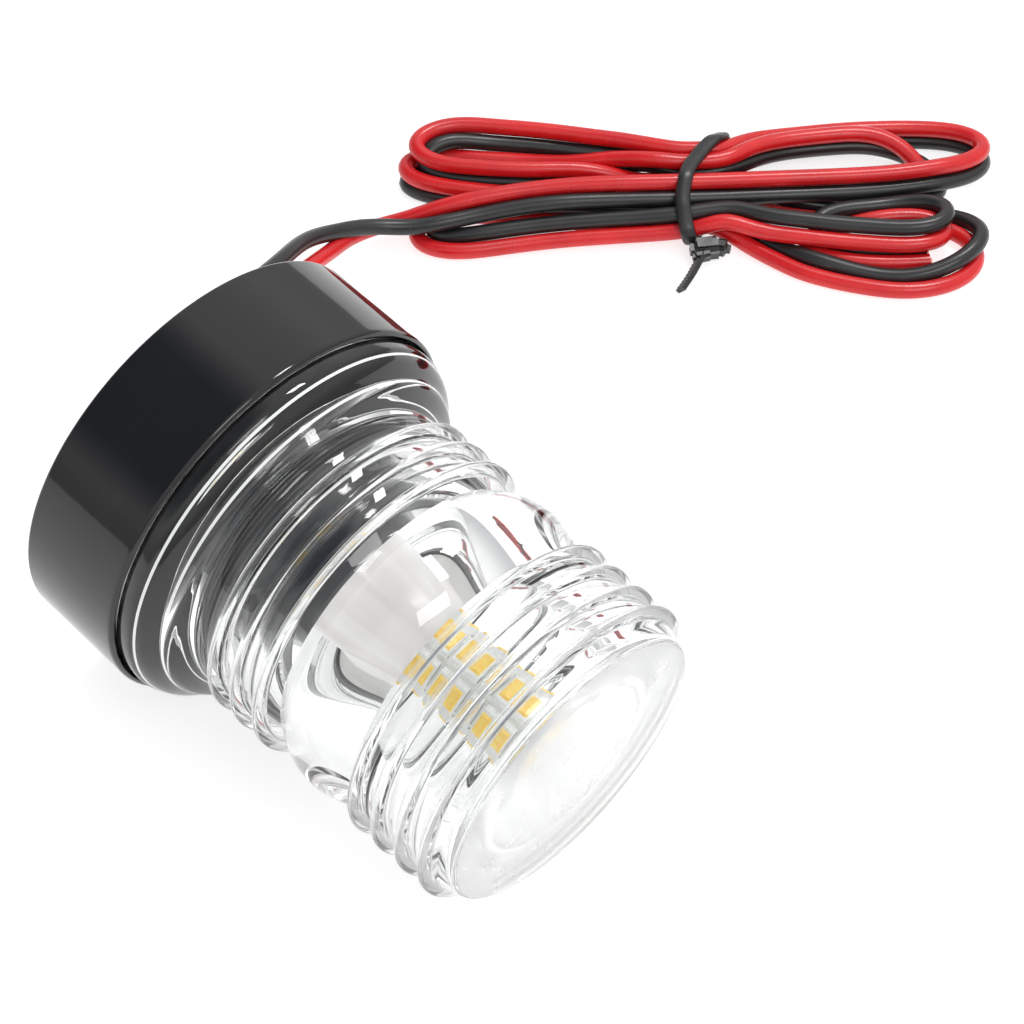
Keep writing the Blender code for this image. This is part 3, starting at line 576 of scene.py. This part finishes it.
# Base housing: gloss outside with a rounded front lip, a threaded neck and a tower
neck = [(19.62, 26.3)]
for i in range(7):
    zc = 25.6 - 1.25 * i
    neck += [(19.0, zc + 0.40), (19.6, zc + 0.14), (19.68, zc), (19.6, zc - 0.14), (19.0, zc - 0.40)]
shell = ([(13.45, 36.8), (14.3, 36.8), (14.6, 36.5), (14.6, 26.9), (14.9, 26.6), (19.4, 26.6)] + neck
         + [(19.0, 16.8), (19.8, 16.35)]
         + [(23.3, 16.35), (23.3, 14.9), (26.1, 14.9), (26.1, 16.35), (29.2, 16.35),
            (29.4, 16.45), (29.43, 16.8), (29.43, 17.0), (29.5, 17.08)]
         + arc(29.5, 16.4, 0.65, 0.7, 84, 0, 8)
         + [(30.13, 15.9), (30.1, 12.0), (30.06, 7.0), (30.02, 2.0), (30.0, 0.6)]
         + arc(29.5, 0.5, 0.5, 0.5, 0, -90, 5)
         + [(27.5, 0.0), (27.45, 0.05), (27.45, 3.1), (22.0, 3.1), (22.0, 6.7), (27.25, 7.7),
            (27.25, 12.8), (17.2, 12.8), (17.2, 24.0), (12.4, 24.8), (12.4, 34.6), (13.45, 34.6)])
base_shell = turned("base_shell", shell, 192, [LOOK["gloss_black_abs"]], sharp=40.0)
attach(base_shell, "base")
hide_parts("base_housing")

# Lens: ribs, bulge and flange outside, straight bore and chamber inside
def fin(crest, z, half=0.45, root=22.3):
    """One thin rib: a round edge on slightly sloping sides, small fillets at its root."""
    return ([(root, z + half + 0.28), (root + 0.07, z + half + 0.11), (root + 0.3, z + half)]
            + arc(crest - 0.38, z, 0.38, 0.38, 80, -80, 8)
            + [(root + 0.3, z - half), (root + 0.07, z - half - 0.11), (root, z - half - 0.28)])


outer = [(0.0, 72.5), (10.0, 72.5), (19.0, 72.5), (20.4, 72.5)] + arc(20.9, 71.9, 0.6, 0.6, 90, 0, 6)
outer += [(21.6, 71.0), (22.2, 70.2)]
for i in (3, 2, 1, 0):
    outer += fin(24.05, 55.75 + 4.27 * i)
for i in range(25):
    u = 1.0 - 2.0 * i / 24.0
    outer.append((21.4 + (23.86 - 21.4) * (1 - u * u), 47.05 + 6.83 * u))
for i in (2, 1, 0):
    outer += fin(24.3, (29.45, 33.65, 38.0)[i])
skirt = spaced([(22.3, 27.8, 0), (22.4, 26.9, 0), (22.8, 25.9, 0), (23.8, 24.95, 0), (25.1, 24.25, 0),
                (25.9, 23.75, 0), (26.35, 23.1, 0), (26.5, 22.6, 0), (27.0, 22.15, 0), (27.8, 21.5, 0),
                (28.4, 20.8, 0), (28.65, 20.2, 0), (28.8, 19.75, 0), (29.05, 19.4, 0), (29.15, 18.9, 0)], 0.2)[:, :2]
outer += [tuple(p) for p in skirt]
outer += [(29.15, 17.1), (29.05, 16.85), (28.9, 16.75), (27.6, 16.75), (20.5, 16.75), (20.2, 16.85), (20.05, 17.1),
          (20.05, 26.9), (19.8, 27.4), (19.4, 27.6), (15.9, 27.6), (15.4, 27.75), (15.1, 28.2)]
outer += [(15.1 - 0.3 * k / 12, 28.2 + 38.9 * k / 12) for k in range(1, 13)]
outer += arc(12.3, 67.1, 2.5, 2.5, 0, 90, 10)[1:] + [(6.0, 69.6), (0.0, 69.6)]


def end_face(i, prof):
    """Satin end disc with a painted glow, and painted highlight hairlines on the step corners; the flange's underside
    is the black base under it, deepened with painted shade.
    """
    (r0, z0), (r1, z1) = prof[i], prof[i + 1]
    if z0 > 72.45 and z1 > 72.45:
        return 1
    # the flange's underside: the black base under it, with painted shade
    if abs(z0 - 16.75) < 0.01 and abs(z1 - 16.75) < 0.01 and r0 < 28.0:
        return 2
    rm, zm = (r0 + r1) / 2, (z0 + z1) / 2
    if math.hypot(rm - 28.72, zm - 19.95) < 0.17 or math.hypot(rm - 26.42, zm - 22.85) < 0.15:
        return 3                       # painted highlight hairlines on the corners of the two steps
    return 0


lens_body = turned("lens_body", outer, 256, [LOOK["clear_polycarbonate"], LOOK["lens_end"],
                                               LOOK["flange_underside_painted_shade"], LOOK["lens_edge"]],
                   pick=end_face, closed=False, sharp=50.0)
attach(lens_body, "lens")
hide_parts("lens")

# LED holder: a tapered milky cup with shallow flutes
cup = ([(6.7, 44.1), (6.9, 44.4), (7.2, 44.4)] + arc(7.1, 43.9, 0.5, 0.5, 90, 0, 6)
       + [(7.75, 42.0), (8.05, 39.6), (8.25, 39.2), (9.2, 38.1), (9.4, 37.9), (9.4, 37.0), (9.2, 36.75),
          (6.9, 36.75), (6.7, 37.0)])
holder = turned("holder_cup", cup, 144, [LOOK["milky_acrylic"]], sharp=40.0,
                wobble=lambda r, z, a: (-0.022 * (0.5 + 0.5 * math.cos(10 * a))) if 38.5 < z < 44.3 and r > 7 else 0.0)
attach(holder, "base")
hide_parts("led_holder")

# LEDs: white frames with a raised phosphor window and two solder pads each
def add_box(verts, faces, fm, M, lo, hi, mi, inset=0.0):
    b = len(verts)
    for x, y, z in ((0, 0, 0), (1, 0, 0), (1, 1, 0), (0, 1, 0), (0, 0, 1), (1, 0, 1), (1, 1, 1), (0, 1, 1)):
        px = hi[0] if x else lo[0]
        s = inset if x else 0.0
        py = (hi[1] - s) if y else (lo[1] + s)
        pz = (hi[2] - s) if z else (lo[2] + s)
        verts.append(M @ Vector((px * MM, py * MM, pz * MM)))
    for f in ((0, 3, 2, 1), (4, 5, 6, 7), (0, 1, 5, 4), (1, 2, 6, 5), (2, 3, 7, 6), (3, 0, 4, 7)):
        faces.append(tuple(b + i for i in f))
        fm.append(mi)


verts, faces, fm = [], [], []
for zc in (49.0, 55.6, 62.2):
    for k in range(6):
        R = Matrix.Rotation(math.radians(60.0 * k), 4, 'Z')
        add_box(verts, faces, fm, R, (4.62, -2.3, zc - 2.5), (5.75, 2.3, zc + 2.5), 0, 0.12)
        add_box(verts, faces, fm, R, (5.70, -1.75, zc - 1.95), (6.05, 1.75, zc + 1.95), 1, 0.30)
        for s in (-1, 1):
            add_box(verts, faces, fm, R, (4.5, -1.9, zc + s * 2.62 - 0.28), (4.75, 1.9, zc + s * 2.62 + 0.28), 2, 0.08)
chips = object_from("led_array", verts, faces, [LOOK["led_frame"], LOOK["led_phosphor"], LOOK["stainless_steel"]],
                    fm, AXIS, smooth=False)
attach(chips, "base")
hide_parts(*["led_chip_%02d" % i for i in range(1, 19)])


# ------------------------------------------------------------ cords, tie
def cord_curve(name, pts, d, mat):
    cu = bpy.data.curves.new(name, 'CURVE')
    cu.dimensions = '3D'
    sp = cu.splines.new('POLY')
    sp.points.add(len(pts) - 1)
    for p, q in zip(sp.points, pts):
        p.co = (q[0] * MM, q[1] * MM, q[2] * MM, 1.0)
    sp.use_smooth = True
    cu.bevel_depth = 0.5 * d * MM
    cu.bevel_resolution = 6
    cu.use_fill_caps = True
    cu.materials.append(mat)
    ob = bpy.data.objects.new(name, cu)
    scene.collection.objects.link(ob)
    return ob


def strands(name, pts):
    """Cut copper strands standing just proud of the insulation's end."""
    end, d = Vector(pts[-1]), (Vector(pts[-1]) - Vector(pts[-4])).normalized()
    a = d.orthogonal().normalized()
    b = d.cross(a)
    verts, faces = [], []
    spots = [(0, 0)] + [(0.42 * math.cos(t), 0.42 * math.sin(t)) for t in np.radians(np.arange(0, 360, 60))]
    for j, (u, v) in enumerate(spots):
        r, tip = 0.2, 0.35 + 0.12 * ((j * 37) % 5) / 5
        base = len(verts)
        for off, rr in ((-1.2, r), (tip - 0.05, r), (tip, r * 0.6)):
            for k in range(8):
                t = 2 * math.pi * k / 8
                verts.append((end + d * off + a * (u + rr * math.cos(t)) + b * (v + rr * math.sin(t))) * MM)
        for ring in range(2):
            for k in range(8):
                k2 = (k + 1) % 8
                o = base + ring * 8
                faces.append((o + k, o + k2, o + 8 + k2, o + 8 + k))
        faces.append(tuple(base + 16 + k for k in range(8)))
        faces.append(tuple(base + 7 - k for k in range(8)))
    ob = object_from(name, verts, faces, [LOOK["copper"]])
    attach(ob, "base")
    return ob


for colour, covers in (("red", ("lead_red", "lead_hank")), ("black", ("lead_black",))):
    pts = LEADS[colour]
    ob = cord_curve("twin_lead_" + colour, pts, WIRE_D, LOOK[colour + "_pvc"])
    tip = strands("copper_" + colour, pts)
    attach(ob, "base")
    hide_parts(*covers)

# Cable tie: the band follows the bundle it holds, leaning across it
tied = np.vstack([world_to_hank(pts)[100:] for pts in LEADS.values()])
BAND_T, BAND_W = 1.05, 2.35
LEAN_A = [-30, 0, 16, 26, 32, 59, 90, 122, 151, 172, 191, 203, 240, 300, 330]
LEAN_H = [4.0, 4.5, 3.8, 2.4, 0.6, -1.9, -2.8, -3.3, -3.8, -3.6, -2.9, -2.0, -0.4, 2.2, 4.0]


def lean(v, z):
    """How far along the bundle the band sits at a place round it."""
    a = math.degrees(math.atan2(z - 5.0, v - 0.35))
    return float(np.interp(a, LEAN_A, LEAN_H, period=360))


here = [0.0] * 180
for _ in range(3):
    ring = []
    for h0, t in zip(here, np.radians(np.arange(0, 360, 2.0))):
        u = np.array([math.cos(t), math.sin(t)])
        q = tied[np.abs(tied[:, 0] - h0) < 1.7][:, 1:]
        ring.append(q[np.argmax(q @ u)] + u * (WIRE_D / 2 + 0.06))
    here = [lean(*q) for q in ring]
ring = np.array(ring + ring[:1])
s = np.r_[0, np.cumsum(np.linalg.norm(np.diff(ring, axis=0), axis=1))]
q = np.linspace(0, s[-1], 181)[:-1]
ring = np.stack([np.interp(q, s, ring[:, j]) for j in (0, 1)], 1)
for _ in range(6):
    ring = (np.roll(ring, 1, 0) + 2 * ring + np.roll(ring, -1, 0)) / 4
ring_h = np.array([lean(*q) for q in ring])
for _ in range(40):
    ring_h = (np.roll(ring_h, 1) + 2 * ring_h + np.roll(ring_h, -1)) / 4
path = np.c_[ring_h, ring]                       # along, across, height
tan = np.roll(path, -1, 0) - np.roll(path, 1, 0)
tan /= np.linalg.norm(tan, axis=1, keepdims=True)
flat = tan[:, 1:] / np.linalg.norm(tan[:, 1:], axis=1, keepdims=True)
nrm = np.c_[np.zeros(len(path)), flat[:, 1], -flat[:, 0]]
if ((ring - ring.mean(0)) * nrm[:, 1:]).sum() < 0:
    nrm = -nrm
wide = np.cross(nrm, tan)
wide *= np.sign(wide[:, :1])

section = [(-0.5, 0.12), (-0.42, 0.0), (0.42, 0.0), (0.5, 0.12), (0.5, 0.55), (0.43, 0.82), (0.28, 0.97),
           (0.0, 1.0), (-0.28, 0.97), (-0.43, 0.82), (-0.5, 0.55)]
verts, faces = [], []
for c, nn, ww in zip(path, nrm, wide):
    for w, o in section:
        q = c + nn * o * BAND_T + ww * w * BAND_W
        q[2] = max(q[2], 0.04)
        verts.append(Vector(hank_to_world([q])[0]) * MM)
n, m = len(ring), len(section)
for i in range(n):
    for k in range(m):
        faces.append((i * m + k, i * m + (k + 1) % m, ((i + 1) % n) * m + (k + 1) % m, ((i + 1) % n) * m + k))
head_v = float(ring[:, 0].min())
fm = [0] * len(faces)


def hank_matrix(h, v, z, rz=0.0, rx=0.0, ry=0.0):
    p = hank_to_world([(h, v, z)])[0]
    return (Matrix.Translation(Vector(p) * MM) @ Matrix.Rotation(math.radians(47.1) + rz, 4, 'Z')
            @ Matrix.Rotation(rx, 4, 'X') @ Matrix.Rotation(ry, 4, 'Y'))


def add_rounded(size, M, r=0.5, taper=0.0):
    """A block with rounded edges: one scaled cube, optionally tapered, bevelled in three segments."""
    bm = bmesh.new()
    bmesh.ops.create_cube(bm, size=1.0)
    for vv in bm.verts:
        k = 1.0 - taper * (0.5 - vv.co.y)
        vv.co = Vector((vv.co.x * size[0] * k, vv.co.y * size[1], vv.co.z * size[2] * k)) * MM
    bmesh.ops.bevel(bm, geom=list(bm.edges) + list(bm.verts), offset=r * MM, segments=3, affect='EDGES')
    base = len(verts)
    bm.verts.ensure_lookup_table()
    for vv in bm.verts:
        verts.append(M @ vv.co)
    for f in bm.faces:
        faces.append(tuple(base + vv.index for vv in f.verts))
        fm.append(0)
    bm.free()


add_rounded((5.4, 3.3, 3.7), hank_matrix(-0.1, head_v - 1.7, 2.3, rz=0.10, rx=0.25), 1.0)
add_rounded((3.0, 2.6, 2.8), hank_matrix(2.2, head_v - 1.5, 2.2, rz=-0.35, rx=0.2), 0.8)
add_rounded((3.2, 1.6, 2.2), hank_matrix(-0.9, head_v - 3.2, 2.1, rz=0.2, rx=0.3), 0.5)
# tail: a short twisted strap with ratchet teeth, cut off square
tail = spaced([(-0.7, head_v - 2.6, 2.5, 0), (-1.7, head_v - 4.4, 2.1, 0), (-3.2, head_v - 7.0, 1.5, 0),
               (-4.9, head_v - 9.6, 1.05, 0)], 0.35)[:, :3]
base = len(verts)
world_tail = hank_to_world(tail)
for i, p in enumerate(world_tail):
    a = world_tail[min(i + 1, len(tail) - 1)] - world_tail[max(i - 1, 0)]
    a = Vector(a).normalized()
    side = a.cross(Vector((0, 0, 1))).normalized()
    upv = side.cross(a)
    tw = math.radians(-52.0)
    wd = side * math.cos(tw) + upv * math.sin(tw)
    th = upv * math.cos(tw) - side * math.sin(tw)
    half = 0.85 + 0.18 * (i / len(tail))
    tooth = 0.16 if i % 2 else 0.0
    for x, y in ((-1, -0.42), (1, -0.42), (1, 0.42 - tooth), (-1, 0.42 - tooth)):
        verts.append((Vector(p) + wd * x * half + th * y) * MM)
for i in range(len(tail) - 1):
    for k in range(4):
        faces.append((base + 4 * i + k, base + 4 * i + (k + 1) % 4, base + 4 * i + 4 + (k + 1) % 4, base + 4 * i + 4 + k))
        fm.append(0)
faces.append(tuple(base + k for k in range(4)))
faces.append(tuple(base + 4 * (len(tail) - 1) + 3 - k for k in range(4)))
fm += [0, 0]
tie = object_from("tie_strap", verts, faces, [LOOK["black_nylon"]], fm, sharp=30.0)
low = min(v.co.z for v in tie.data.vertices)
if low < 0.00003:
    for v in tie.data.vertices:
        v.co.z = max(v.co.z, 0.00003)
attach(tie, "base")
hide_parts("cable_tie")

# ------------------------------------------------------------------- stage
me = bpy.data.meshes.new("floor")
me.from_pydata([(-1.6, -1.6, 0), (1.6, -1.6, 0), (1.6, 1.6, 0), (-1.6, 1.6, 0)], [], [(0, 1, 2, 3)])
floor = bpy.data.objects.new("floor", me)
scene.collection.objects.link(floor)
fm_, nt, p = nodes_of("floor")
nt.links.new(mix(nt, span(nt, noise(nt, 3.0), 0.0, 1.0), (0.50, 0.50, 0.50), (0.52, 0.52, 0.52)),
             p.inputs["Base Color"])
p.inputs["Roughness"].default_value = 0.9
p.inputs["Specular IOR Level"].default_value = 0.0
p.inputs["Emission Color"].default_value = (1, 1, 1, 1)
p.inputs["Emission Strength"].default_value = 0.74
me.materials.append(fm_)

world = bpy.data.worlds.new("studio")
scene.world = world
world.use_nodes = True
nt = world.node_tree
nt.nodes.clear()
wout = nt.nodes.new("ShaderNodeOutputWorld")
bg = nt.nodes.new("ShaderNodeBackground")
nt.links.new(bg.outputs[0], wout.inputs[0])
tc = nt.nodes.new("ShaderNodeTexCoord")


def toward(d, lo, hi):
    """A soft patch of the surroundings round a direction."""
    dp = nt.nodes.new("ShaderNodeVectorMath")
    dp.operation = 'DOT_PRODUCT'
    dp.inputs[1].default_value = Vector(d).normalized()
    nt.links.new(tc.outputs["Generated"], dp.inputs[0])
    mr = nt.nodes.new("ShaderNodeMapRange")
    mr.interpolation_type = 'SMOOTHSTEP'
    mr.inputs["From Min"].default_value = lo
    mr.inputs["From Max"].default_value = hi
    nt.links.new(dp.outputs["Value"], mr.inputs["Value"])
    return mr.outputs["Result"]


col = mix(nt, toward((0, 0, 1), 0.0, 0.5), (0.55, 0.55, 0.56), (1.0, 1.0, 1.0))
col = mix(nt, toward((-.46, -.42, .78), 0.72, 0.93), col, (0.22, 0.24, 0.28))
nt.links.new(col, bg.inputs["Color"])
bg.inputs["Strength"].default_value = 1.0


def softbox(name, at, target, size, power, size_y=None):
    li = bpy.data.lights.new(name, 'AREA')
    li.shape = 'RECTANGLE'
    li.size, li.size_y = size, size_y or size
    li.energy = power
    ob = bpy.data.objects.new(name, li)
    scene.collection.objects.link(ob)
    ob.location = at
    ob.rotation_euler = (Vector(target) - Vector(at)).to_track_quat('-Z', 'Y').to_euler()
    return ob


softbox("key", (-0.10, 0.45, 0.95), (-0.03, 0.08, 0.0), 0.30, 3.4, 0.16)
softbox("fill", (0.6, -0.1, 0.8), (0, 0, 0.03), 0.4, 1.6, 0.25)

scene.view_settings.view_transform = 'Standard'
scene.cycles.max_bounces = 20
scene.cycles.transmission_bounces = 16
scene.cycles.transparent_max_bounces = 16
scene.cycles.glossy_bounces = 6
